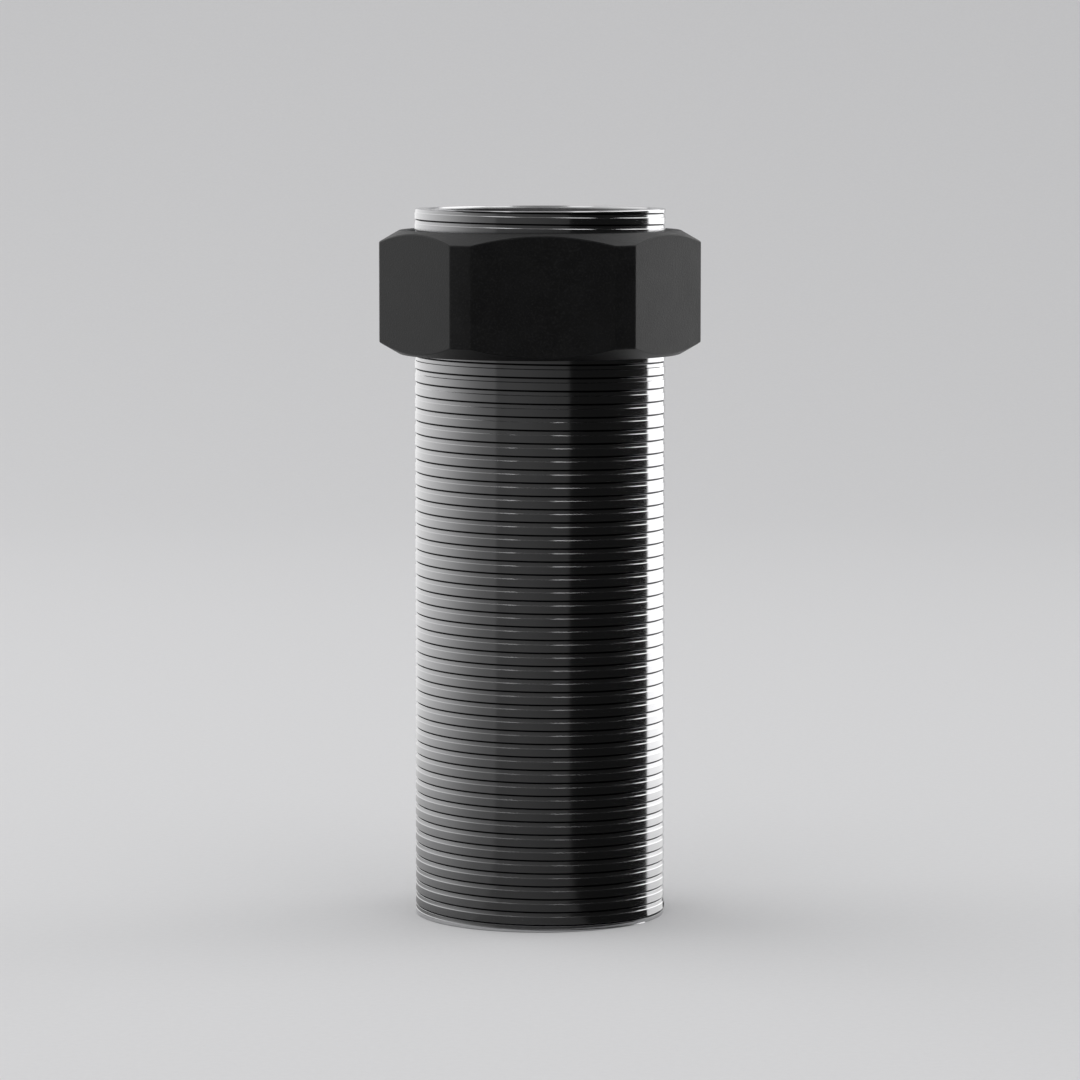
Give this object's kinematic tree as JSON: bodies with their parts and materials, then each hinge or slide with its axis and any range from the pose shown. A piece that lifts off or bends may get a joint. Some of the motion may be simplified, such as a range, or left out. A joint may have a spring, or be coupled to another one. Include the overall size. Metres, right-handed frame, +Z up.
{
  "type": "threaded pipe nipple",
  "caption": "Straight bright metal pipe nipple threaded along its whole length, with an open bore and a black hex lock nut that runs on the thread near its upper end.",
  "frame": {"origin": "centre of the nipple's lower end face, at the bottom of the part", "axes": "+Z up along the nipple's bore and the nut's travel; -Y towards the viewer of the picture, where one flat of the nut faces"},
  "size_m": [0.0528, 0.048, 0.1167],
  "materials": {
    "bright_plated_steel": "bright plated, fine turning lines",
    "black_oxide_steel": "matte black, fine grain"
  },
  "bodies": {
    "nipple": {"nipple": "bright_plated_steel"},
    "lock_nut": {"lock_nut": "black_oxide_steel"}
  },
  "joints": [
    {"name": "nut_travel", "type": "slide", "parent": "nipple", "child": "lock_nut", "axis": [0, 0, 1], "range_m": [-0.09102, 0]}
  ]
}
